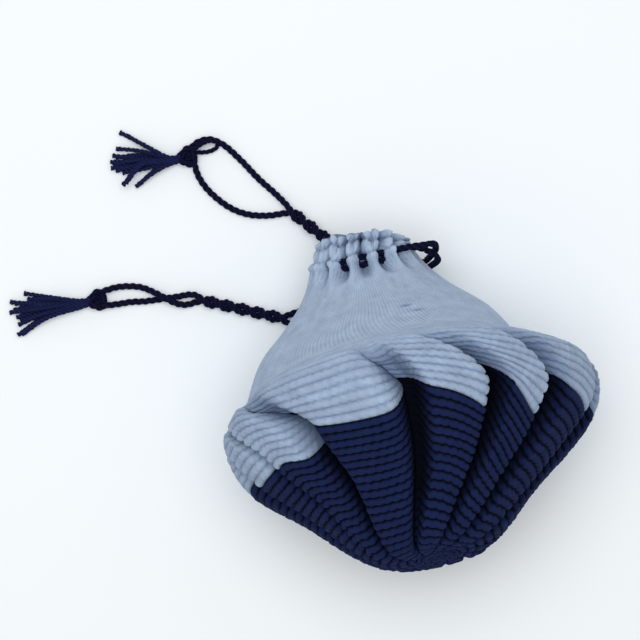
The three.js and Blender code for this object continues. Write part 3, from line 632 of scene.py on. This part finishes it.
collar_count = round((frill_end - cloth_collar) / COLLAR_ROW)
collar_share = np.linspace(0, 1, collar_count + 1)[:, None]
collar_angle = -np.linspace(0, 2 * np.pi, PLEAT_COUNT * COLLAR_PER_PLEAT, endpoint=False)[None, :]
ragged = FRILL_RAGGED * (0.5 + 0.5 * ripple(collar_angle * RAGGED_WAVES, 0, seed=3)) * collar_share**2
collar_along = cloth_collar + (frill_end - cloth_collar) * collar_share - ragged
collar_angle = collar_angle + 0 * collar_along
above_tie = ease(collar_along - cloth_tie, *FRILL_OPENS)
pleat_turn = collar_angle + PLEAT_WANDER * above_tie * ripple(collar_angle * PLEAT_WAVES, 0, seed=7)
collar_pleats = collar_angle / 2 / np.pi * PLEAT_COUNT
collar_columns = collar_pleats * BUMPS_PER_PLEAT
bump_rows = (collar_along - cloth_tie) / BUMP_ROW
bump_rows = bump_rows + BUMP_WANDER * ripple(collar_angle * BUMP_WAVES, 0, seed=6)
frilled = ease(collar_along - cloth_tie, *BUMPS_BEGIN)
collar_plain = plain(plain_rows(collar_along, collar_angle), collar_pleats * PLAIN_PER_PLEAT)
collar_bumps = garter(bump_rows, collar_columns)
collar_relief = collar_plain * (1 - frilled) + collar_bumps * frilled
collar_height = PLAIN_HEIGHT * collar_plain * crest_at(collar_along)[..., 0] / YOKE_SEAM[0] * (1 - frilled)
collar_height = collar_height + BUMP_HEIGHT * collar_bumps * frilled - COLLAR_SINK
frill_crimp = above_tie * FRILL_CRIMP * (1 + np.cos(2 * PLEAT_COUNT * pleat_turn + CRIMP_OFFSET))
# Painted shade in the hollows of the pleats and of the frill's crimp.
hollow = (frill_crimp + pleat_folds(collar_along, pleat_turn)) / (FRILL_PLEAT + FRILL_CRIMP)
collar_shade = np.interp(collar_relief, (0, 1), PLAIN_SHADES) * np.clip(HOLLOW_SHADE - hollow, 0, 1)
tie_radius = TIE[0]
cord_ring = tie_radius - (TIE_PLEAT + GATHERED_WALL) / 2


def collar_surface(wall, sign):
    smooth = neck_cloth(collar_along, collar_angle, pleat_turn, wall, frill_crimp)
    flare = above_tie * (FRILL_FLARE + FLARE_VARIETY * ripple(collar_angle * FLARE_WAVES, 0, seed=2))
    smooth = smooth + outward(smooth, closed=True) * (sign * collar_height)[..., None]
    away = smooth - neck
    away[..., 1] = 0
    smooth = smooth + away / np.linalg.norm(away, axis=-1, keepdims=True) * flare[..., None]
    arch = 1 - FRILL_ARCH * ((smooth[..., 0] - neck[0]) / tie_radius - FRILL_PEAK) ** 2
    smooth[..., 1] += FRILL_EXTRA * arch * ease(collar_along, cloth_tie + FRILL_GROWS, frill_end)
    smooth[..., 0] += FRILL_LEAN * np.maximum(smooth[..., 1] - neck[1] - LEAN_START, 0)
    return smooth


collar_outer = collar_surface(0, 1)
collar_inner = collar_surface(COLLAR_THICKNESS, -1)
from_neck = (collar_outer + collar_inner) / 2 - neck
from_ring = np.hypot(from_neck[..., 0], from_neck[..., 2]) - cord_ring
in_eyelet = (np.abs(from_ring) < EYELET_DEPTH) & (np.abs(from_neck[..., 1]) < EYELET_HEIGHT)
open_cell = in_eyelet & np.roll(in_eyelet, -1, 1)
open_cell = (open_cell & np.roll(open_cell, -1, 0))[:-1]
rows, columns = collar_outer.shape[:2]
front = np.arange(rows * columns).reshape(rows, columns)
front = np.hstack([front, front[:, :1]])
back = front + rows * columns
collar_faces = []
for j in range(rows - 1):
    for i in range(columns):
        if open_cell[j, i]:
            continue
        a, b, c, d = front[j, i], front[j, i + 1], front[j + 1, i + 1], front[j + 1, i]
        collar_faces.append([a, b, c, d])
        collar_faces.append([back[j, i], back[j + 1, i], back[j + 1, i + 1], back[j, i + 1]])
        below, above = j == 0 or open_cell[j - 1, i], j == rows - 2 or open_cell[j + 1, i]
        before, after = open_cell[j, i - 1], open_cell[j, (i + 1) % columns]
        if below:
            collar_faces.append([a, back[j, i], back[j, i + 1], b])
        if above:
            collar_faces.append([d, c, back[j + 1, i + 1], back[j + 1, i]])
        if before:
            collar_faces.append([a, d, back[j + 1, i], back[j, i]])
        if after:
            collar_faces.append([b, back[j, i + 1], back[j + 1, i + 1], c])
collar_stitch = np.stack([collar_columns * STITCH_WIDTH, collar_along], -1).reshape(-1, 2)
# The collar's inner face gets painted shade, a fixed share of its stitch height.
collar = piece(
    "collar_knit",
    np.concatenate([collar_outer.reshape(-1, 3), collar_inner.reshape(-1, 3)]),
    collar_faces,
    np.concatenate([collar_stitch, collar_stitch]),
    np.concatenate([collar_shade.ravel(), INNER_SHADE * collar_relief.ravel()]),
    light_wool,
)
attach(collar, "pouch")
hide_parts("collar")

# Drawstrings: two cords of three twisted plies of navy wool. Each runs once round the neck through the
# eyelets, comes out through two valleys of the pleats, and its two strands lie over the table to a knot.
EXIT_DEPTH, EXIT_LEAVES, EXIT_BENDS, EXIT_SHARE = 4, 0.45, 0.4, 0.3
CORD_PLIES, CORD_LAY, CORD_THICKNESS, PLY_OVERLAP = 3, 12, 4.0, 1.08
CORD_SIDES, CORD_STEP, CURVE_POINTS, FIRST_SIDE = 24, 0.55, 40, (0.3, 0.2, 1)
# Cord colours on the crests of its plies and down between them; the darker groove colour is painted shade.
CORD_CREST, CORD_GROOVE = (0.005, 0.006, 0.030, 1), (0.001, 0.001, 0.006, 1)
LEFT_EXIT_PLEAT, RIGHT_EXIT_PLEAT, RING_STEPS = 10, 1, 2 * PLEAT_COUNT - 2
TABLE_CLEARANCE, TWIST_CLEARANCE, POINTS_PER_HALF_TURN = 0.1, 0.5, 4

cord_radius = CORD_DIAMETER / 2
cord_spacing = CORD_DIAMETER + CORD_GAP
exit_radius = tie_radius - EXIT_DEPTH
half_pleat = np.pi / PLEAT_COUNT
cord_wool = wool("navy cord", CORD_CREST, CORD_GROOVE, NAVY_FUZZ, fuzz_weight=0.02)


# A smooth curve through chosen points, cut into even steps, and the run along it.
def smooth_line(points, step):
    points = np.array(points, float)
    ends = np.concatenate([[2 * points[0] - points[1]], points, [2 * points[-1] - points[-2]]])
    f = np.linspace(0, 1, CURVE_POINTS, endpoint=False)[:, None]
    line = []
    for p0, p1, p2, p3 in zip(ends, ends[1:], ends[2:], ends[3:]):
        d0, d1, d2 = (np.linalg.norm(b - a) ** 0.5 for a, b in ((p0, p1), (p1, p2), (p2, p3)))
        t1 = ((p1 - p0) / d0 - (p2 - p0) / (d0 + d1) + (p2 - p1) / d1) * d1
        t2 = ((p2 - p1) / d1 - (p3 - p1) / (d1 + d2) + (p3 - p2) / d2) * d1
        line.append(((2 * p1 - 2 * p2 + t1 + t2) * f - 3 * p1 + 3 * p2 - 2 * t1 - t2) * f**2 + t1 * f + p1)
    line = np.concatenate([*line, points[-1:]])
    run = np.concatenate([[0], np.cumsum(np.linalg.norm(np.diff(line, axis=0), axis=1))])
    even = np.linspace(0, run[-1], max(4, round(run[-1] / step)) + 1)
    return np.stack([np.interp(even, run, line[:, n]) for n in range(3)], -1), even


# A cord laid of round plies along a line. The height of its plies also sets a painted shade, darker down
# between them.
def plied(line, run, radius, plies, lay, sides, closed=False):
    ahead = np.gradient(line, axis=0)
    if closed:
        ahead = np.roll(line, -1, 0) - np.roll(line, 1, 0)
    ahead /= np.linalg.norm(ahead, axis=1, keepdims=True)
    side = np.empty_like(line)
    square = np.cross(ahead[0], FIRST_SIDE)
    for n, way in enumerate(ahead):
        square = square - way * (square @ way)
        square = square / np.linalg.norm(square)
        side[n] = square
    turn = np.linspace(0, 2 * np.pi, sides, endpoint=False)
    wedge = np.pi / plies
    off = (turn[None, :] - 2 * np.pi * run[:, None] / lay + wedge) % (2 * wedge) - wedge
    width = np.sin(wedge) / (1 + np.sin(wedge)) * PLY_OVERLAP
    reach = (1 - width) * np.cos(off) + np.sqrt(np.maximum(width**2 - ((1 - width) * np.sin(off)) ** 2, 0.0))
    up = np.cross(ahead, side)
    out = side[:, None] * np.cos(turn)[None, :, None] + up[:, None] * np.sin(turn)[None, :, None]
    around = line[:, None] + out * (np.asarray(radius).reshape(-1, 1) * reach)[..., None]
    at = np.arange(around.shape[0] * sides).reshape(-1, sides)
    at = np.hstack([at, at[:, :1]])
    if closed:
        at = np.vstack([at, at[:1]])
    faces = np.stack([at[:-1, :-1], at[:-1, 1:], at[1:, 1:], at[1:, :-1]], -1).reshape(-1, 4).tolist()
    if not closed:
        faces += [at[0, -2::-1].tolist(), at[-1, :-1].tolist()]
    low, high = reach.min(), reach.max()
    stitch = np.stack([run[:, None] + 0 * turn, turn[None, :] + 0 * run[:, None]], -1)
    return around.reshape(-1, 3), faces, stitch.reshape(-1, 2), ((reach - low) / (high - low)).ravel()


def around_neck(radius, angle, forward):
    return neck + np.array([radius * np.cos(angle), forward, radius * np.sin(angle)])


def ring_line(pleat, forward):
    first, second = (2 * pleat - 1) * half_pleat, (2 * pleat + 1) * half_pleat
    leave = EXIT_LEAVES * half_pleat
    sweep = 2 * np.pi - (second - first) - 2 * leave
    bend_at = (1 - EXIT_SHARE) * cord_ring + EXIT_SHARE * exit_radius
    out_way = [(exit_radius, 0), (exit_radius - cord_radius, 0), (bend_at, EXIT_BENDS * leave)]
    points = [around_neck(radius, second + turn, forward) for radius, turn in out_way]
    for n in range(RING_STEPS + 1):
        points.append(around_neck(cord_ring, second + leave + sweep * n / RING_STEPS, forward))
    return points + [around_neck(radius, first - turn, forward) for radius, turn in out_way[::-1]]


# Two strands twisted round each other from one point to another.
def twisted(start, end, half_turns):
    start, end = np.array(start), np.array(end)
    ahead = (end - start) / np.linalg.norm(end - start)
    side = np.cross([0, 0, 1], ahead)
    side /= np.linalg.norm(side)
    share = np.linspace(0, 1, POINTS_PER_HALF_TURN * half_turns + 1)[:, None]
    turn = np.pi * (0.5 + half_turns * share)
    off = (side * np.cos(turn) + np.cross(ahead, side) * np.sin(turn)) * (cord_radius + TWIST_CLEARANCE)
    middle = start + (end - start) * share
    return [(middle + off).tolist(), (middle - off).tolist()]


def strand_start(pleat, side, forward):
    angle = (2 * pleat + side) * half_pleat
    return [around_neck(exit_radius + past, angle, forward) for past in (0, cord_radius)]


left_twist = twisted([-24, 108, 8.5], [-42, 130, 3.7], half_turns=3)
right_twist = twisted([-62, 70.6, 3.7], [-104, 90.6, 3.7], half_turns=5)
strand_routes = {
    "left_strand_1": [
        *strand_start(LEFT_EXIT_PLEAT, -1, -cord_spacing / 2),
        [-22.5, 89.9, 18.2], [-23.3, 91.8, 15.7], [-23.8, 95.2, 13.6], [-23.8, 99.4, 12.3],
        [-23.2, 103.9, 11.3],
        *left_twist[0],
        [-47.6, 130.4, 1.7], [-55.5, 131, 1.7], [-66, 133.8, 1.7], [-75, 139, 1.7], [-82.4, 146.6, 1.7],
        [-88.2, 155.4, 1.8], [-91, 163, 2.4], [-91.7, 169.2, 3.1], [-92.3, 171.8, 3.1],
    ],
    "left_strand_2": [
        *strand_start(LEFT_EXIT_PLEAT, 1, -cord_spacing / 2),
        [-9.5, 90, 15.2], [-10.5, 92, 12.6], [-12.1, 95.2, 10.5], [-14.2, 99.2, 8.9], [-17, 103, 7.7],
        [-20.4, 106.2, 6.8],
        *left_twist[1],
        [-44.2, 135, 4.8], [-49.2, 143, 2.2], [-56.5, 153.2, 1.7], [-65, 167.2, 1.7], [-72.6, 177.6, 1.7],
        [-79.5, 182.4, 1.8], [-86, 182.5, 2.5], [-90.6, 180.4, 3.1], [-92.4, 178.4, 3.1],
    ],
    "right_strand_1": [
        *strand_start(RIGHT_EXIT_PLEAT, -1, cord_spacing / 2),
        [24.3, 91.9, 54], [29.2, 88.9, 53.3], [31.8, 86.4, 51.4], [33.1, 84.4, 48.6], [33.5, 83.2, 45.2],
        [33, 82.4, 39], [31.6, 81.6, 28.5], [29.2, 80.6, 17], [25.6, 79, 7.4], [19.4, 77.6, 2.7],
        [10, 76.2, 1.8], [0, 74.8, 1.75], [-25, 69, 1.75], [-45, 65.4, 2], [-53, 65.2, 3], [-58.4, 66.6, 4.6],
        *right_twist[0],
        [-109.6, 90.6, 1.7], [-114, 90.4, 2], [-118, 91.4, 3.1], [-122, 93.8, 4.6], [-126.4, 97.6, 5.2],
        [-131.4, 101.8, 4], [-138, 106.2, 2], [-146, 108.7, 1.75], [-153, 109.5, 2.2], [-157.2, 109.2, 2.9],
        [-160.1, 108.9, 3.1], [-162.6, 107.6, 3.1],
    ],
    "right_strand_2": [
        *strand_start(RIGHT_EXIT_PLEAT, 1, cord_spacing / 2),
        [18.6, 93.4, 66.8], [24.2, 92.9, 66.9], [27.8, 92.6, 65.8], [30.3, 92.5, 63.8], [32, 92.3, 61],
        [33, 91.9, 57.4], [33.6, 91, 51], [33.8, 89.9, 44.5], [33.4, 88.6, 36], [31.6, 86.8, 22],
        [27.4, 84.3, 8.6], [20.2, 82.3, 2.8], [10, 80.6, 1.8],
        [0, 79.4, 1.75], [-25, 75, 1.75], [-45, 72.6, 1.75], [-55, 71.6, 1.75],
        *right_twist[1],
        [-107.4, 94.4, 5.2], [-112, 96, 3.4], [-117.5, 96.2, 2], [-126, 96.8, 1.7], [-131.5, 97.2, 1.7],
        [-138, 97.8, 1.75], [-146, 99.2, 1.75], [-153, 99.6, 2.2], [-157.2, 100, 2.9], [-160.1, 100.3, 3.1],
        [-162.6, 102, 3.1],
    ],
}


def cord_piece(name, points):
    line, run = smooth_line(points, CORD_STEP)
    around, faces, stitch, relief_shade = plied(line, run, CORD_THICKNESS / 2, CORD_PLIES, CORD_LAY, CORD_SIDES)
    around[:, 2] = np.maximum(around[:, 2], TABLE_CLEARANCE)
    return piece(name, around, faces, stitch, relief_shade, cord_wool), line, run


for side, pleat, forward in (("left", LEFT_EXIT_PLEAT, -1), ("right", RIGHT_EXIT_PLEAT, 1)):
    ring, _, _ = cord_piece(f"{side}_drawstring_in_eyelets", ring_line(pleat, forward * cord_spacing / 2))
    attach(ring, "pouch")
    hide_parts(f"{side}_drawstring_ring")

strands = {}
for node, points in strand_routes.items():
    side = node.split("_")[0]
    strand, line, run = cord_piece(f"{node}_cord", points)
    strands[node] = (strand, (line + shift) * MM, run[-1] * MM)
    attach(strand, "pouch")
    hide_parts(node)
    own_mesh(strand)

# Knots: both strands of a drawstring, in the same navy cord, are tied together in an overhand knot and drawn
# tight. Its cord goes round twice and crosses itself three times. The left one has a short bight beside it.
KNOT_RADIUS, KNOT_TUBE, KNOT_POINTS, KNOT_LAY = 3.3, 1.35, 180, 9
KNOT_ROUNDS, KNOT_CROSSINGS = 2, 3
KNOT_CORD, BIGHT_CORD = 2.0, 1.4
LEFT_BIGHT = [
    [-92, 177.4, 3.6], [-88, 176.4, 2.2], [-82, 175.6, 1.7], [-77.4, 176.6, 1.7], [-75.6, 179, 2.8],
    [-77.6, 181, 4.8], [-82, 181.2, 5.4], [-87, 179.8, 5], [-91, 177.6, 4.6],
]
LEFT_KNOT, RIGHT_KNOT = (-94.6, 175.2), (-164.9, 104.6)

knot_height = KNOT_RADIUS / 2 + KNOT_TUBE + TABLE_CLEARANCE
for side, (x, y) in (("left", LEFT_KNOT), ("right", RIGHT_KNOT)):
    turn = np.linspace(0, 2 * np.pi * KNOT_ROUNDS, KNOT_POINTS, endpoint=False)
    weave = turn * KNOT_CROSSINGS / KNOT_ROUNDS
    swing = KNOT_RADIUS * (2 + np.cos(weave)) / 2
    lobe = np.stack([-swing * np.cos(turn), -swing * np.sin(turn), KNOT_RADIUS * np.sin(weave) / 2], -1)
    lobe = lobe + np.array([x, y, knot_height])
    lap = np.concatenate([[0], np.cumsum(np.linalg.norm(np.diff(lobe, axis=0), axis=1))])
    whole_lay = lap[-1] * KNOT_POINTS / (KNOT_POINTS - 1) / round(lap[-1] / KNOT_LAY)
    knot = plied(lobe, lap, KNOT_CORD, CORD_PLIES, whole_lay, CORD_SIDES, closed=True)
    points, faces, stitch, relief_shade = knot
    points[:, 2] = np.maximum(points[:, 2], TABLE_CLEARANCE)
    if side == "left":
        bight = plied(*smooth_line(LEFT_BIGHT, CORD_STEP), BIGHT_CORD, CORD_PLIES, KNOT_LAY, CORD_SIDES)
        faces = faces + [[v + len(points) for v in f] for f in bight[1]]
        points = np.concatenate([points, bight[0]])
        stitch = np.concatenate([stitch, bight[2]])
        relief_shade = np.concatenate([relief_shade, bight[3]])
    tied = piece(f"{side}_overhand_knot", points, faces, stitch, relief_shade, cord_wool)
    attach(tied, f"{side}_cord_end")
    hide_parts(f"{side}_knot")

# Tassels: the cut ends of the cord's navy yarn past each knot, untwisted and fanned out over the table. Each
# end is three thin plies, a little frayed where it is cut.
TAIL_RADIUS, TAIL_LAY, TAIL_SIDES, TAIL_STEP = 1.45, 8, 12, 0.7
TAIL_LIFT, TAIL_LEAVES, TAIL_BUNCH, TAIL_FAN, TAIL_WAVE = 1.1, 10.5, 2.4, 4.2, 0.8
FRAY, FRAY_LENGTH, TAIL_UNEVEN, UNEVEN_RATE = 0.25, 2, 0.08, 1.3
TAIL_STARTS, TAIL_MIDDLE, TAIL_DROPS, LIFT_BEGINS, CURL_BEGINS = 1.2, (0.66, 0.6), 0.6, 0.8, 0.8
TAIL_LAYERS, LAYER_STEP, WAVE_STEP = 4, 7, 2.1
# Where each tail ends past its knot, how far aside its middle swings, and how high its end curls.
TAIL_ENDS = {
    "left": [
        (-36, 23, -1, 0), (-32.5, 20.5, -2, 0), (-40, 14, 1, 0), (-43, 10.5, -1, 0), (-41.5, 9, 2, 0),
        (-45, 7, 0, 0), (-44, 5, 1.5, 0), (-45.5, 3.5, -1, 0), (-42.5, 2.5, 2, 0), (-43, 1.2, 1, 0),
        (-39.4, -0.6, -1, 0), (-40.6, -8.5, 7, 6.5), (-38.6, -7.5, 6, 6), (-33.6, -10.4, 1, 1),
        (-31.4, -9.4, 2, 0),
    ],
    "right": [
        (-41.5, 13.4, 0, 0), (-40, 9.5, 1, 0), (-50.5, 10.2, -1, 0), (-48, 8.6, 1, 0), (-45.5, 7, -1, 0),
        (-52, 4.2, 0, 0), (-49.6, 5.2, 1, 0), (-46, 3, 1, 0), (-49, 0.5, 1, 0), (-47, -1.6, 0, 0),
        (-48.6, -4, 2, 0), (-45, -3, 1, 0), (-50.4, -9.8, 3, 0), (-48, -10, 2, 0), (-46.4, -8.6, 2, 0),
        (-44.4, -7.2, 1, 0),
    ],
}
# Tassel colours on the crests of its plies and down between them; the darker groove colour is painted shade.
TAIL_CREST, TAIL_GROOVE = (0.011, 0.016, 0.070, 1), (0.002, 0.003, 0.012, 1)

tail_wool = wool("tassel wool", TAIL_CREST, TAIL_GROOVE, NAVY_FUZZ, fuzz_weight=0.03)
for side, at in (("left", LEFT_KNOT), ("right", RIGHT_KNOT)):
    parts = []
    for n, (x, y, swing, curl) in enumerate(TAIL_ENDS[side]):
        share = 0.5 - n / (len(TAIL_ENDS[side]) - 1)
        low = TAIL_RADIUS + TABLE_CLEARANCE
        lift = TAIL_LIFT * (LAYER_STEP * n % TAIL_LAYERS)
        dropped = (1 - TAIL_DROPS) * knot_height + TAIL_DROPS * low
        tail = [
            [-TAIL_STARTS * KNOT_RADIUS, TAIL_BUNCH * share, knot_height + TAIL_WAVE * np.sin(WAVE_STEP * n)],
            [-TAIL_LEAVES, TAIL_FAN * share, dropped + LIFT_BEGINS * lift],
            [TAIL_MIDDLE[0] * x, TAIL_MIDDLE[1] * y + swing, low + max(lift, CURL_BEGINS * curl)],
            [x, y, low + curl],
        ]
        line, run = smooth_line(tail, TAIL_STEP)
        frayed = 1 + FRAY * np.exp((run - run[-1]) / FRAY_LENGTH)
        thin = TAIL_RADIUS * (1 - TAIL_UNEVEN + TAIL_UNEVEN * np.cos(run * UNEVEN_RATE + n)) * frayed
        parts.append(plied(line, run, thin, CORD_PLIES, TAIL_LAY, TAIL_SIDES))
    offsets = np.cumsum([0] + [len(p[0]) for p in parts])
    points = np.concatenate([p[0] for p in parts]) + np.array([*at, 0])
    points[:, 2] = np.maximum(points[:, 2], TABLE_CLEARANCE)
    faces = [[v + first for v in f] for p, first in zip(parts, offsets) for f in p[1]]
    tassel = piece(
        f"{side}_yarn_tassel", points, faces,
        np.concatenate([p[2] for p in parts]), np.concatenate([p[3] for p in parts]), tail_wool,
    )
    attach(tassel, f"{side}_tassel_end")
    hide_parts(f"{side}_tassel")

# The strands are gone over last; this pass only reads the side of each.
for node, (strand, line, length) in strands.items():
    side = node.split("_")[0]

# Table, light and camera: a pale plain table under an even white tent, with a large soft lamp almost overhead
# but a little to the upper left, and a camera straight above.
CAMERA_AT, CAMERA_TURN, CAMERA_LENS, SENSOR_WIDTH = (-39.11, 53.81, 1400), np.radians(-12.7), 133.5, 36
TABLE_SIZE, TABLE_COLOUR, TABLE_ROUGHNESS, TABLE_SHINE = 6000, (0.905, 0.947, 0.973, 1), 0.8, 0.1
TENT_COLOUR, TENT_STRENGTH = (1, 1, 1, 1), 0.54
LAMP_SIZE, LAMP_ENERGY, LAMP_AT = 1300, 12, (-60, 200, 1400)
LAMP_TURN = (np.radians(-8.5), np.radians(-2.5), 0)

bpy.ops.mesh.primitive_plane_add(size=TABLE_SIZE * MM)
table = bpy.context.object
table.name = "table"
table_material = bpy.data.materials.new("table")
table_material.use_nodes = True
table_shader = table_material.node_tree.nodes["Principled BSDF"]
table_shader.inputs["Base Color"].default_value = TABLE_COLOUR
table_shader.inputs["Roughness"].default_value = TABLE_ROUGHNESS
table_shader.inputs["Specular IOR Level"].default_value = TABLE_SHINE
table.data.materials.append(table_material)

world = bpy.data.worlds.new("tent")
world.use_nodes = True
tent = world.node_tree.nodes["Background"]
tent.inputs["Color"].default_value = TENT_COLOUR
tent.inputs["Strength"].default_value = TENT_STRENGTH
bpy.context.scene.world = world

lamp = bpy.data.lights.new("soft lamp", "AREA")
lamp.shape = "DISK"
lamp.size = LAMP_SIZE * MM
lamp.energy = LAMP_ENERGY
hung_lamp = bpy.data.objects.new("soft lamp", lamp)
hung_lamp.location = [v * MM for v in LAMP_AT]
hung_lamp.rotation_euler = LAMP_TURN
bpy.context.scene.collection.objects.link(hung_lamp)

eye = bpy.data.cameras.new("camera")
eye.lens = CAMERA_LENS
eye.sensor_width = SENSOR_WIDTH
camera = bpy.data.objects.new("camera", eye)
camera.location = [v * MM for v in CAMERA_AT]
camera.rotation_euler = (0, 0, CAMERA_TURN)
bpy.context.scene.collection.objects.link(camera)
bpy.context.scene.camera = camera
bpy.context.scene.view_settings.view_transform = "Standard"
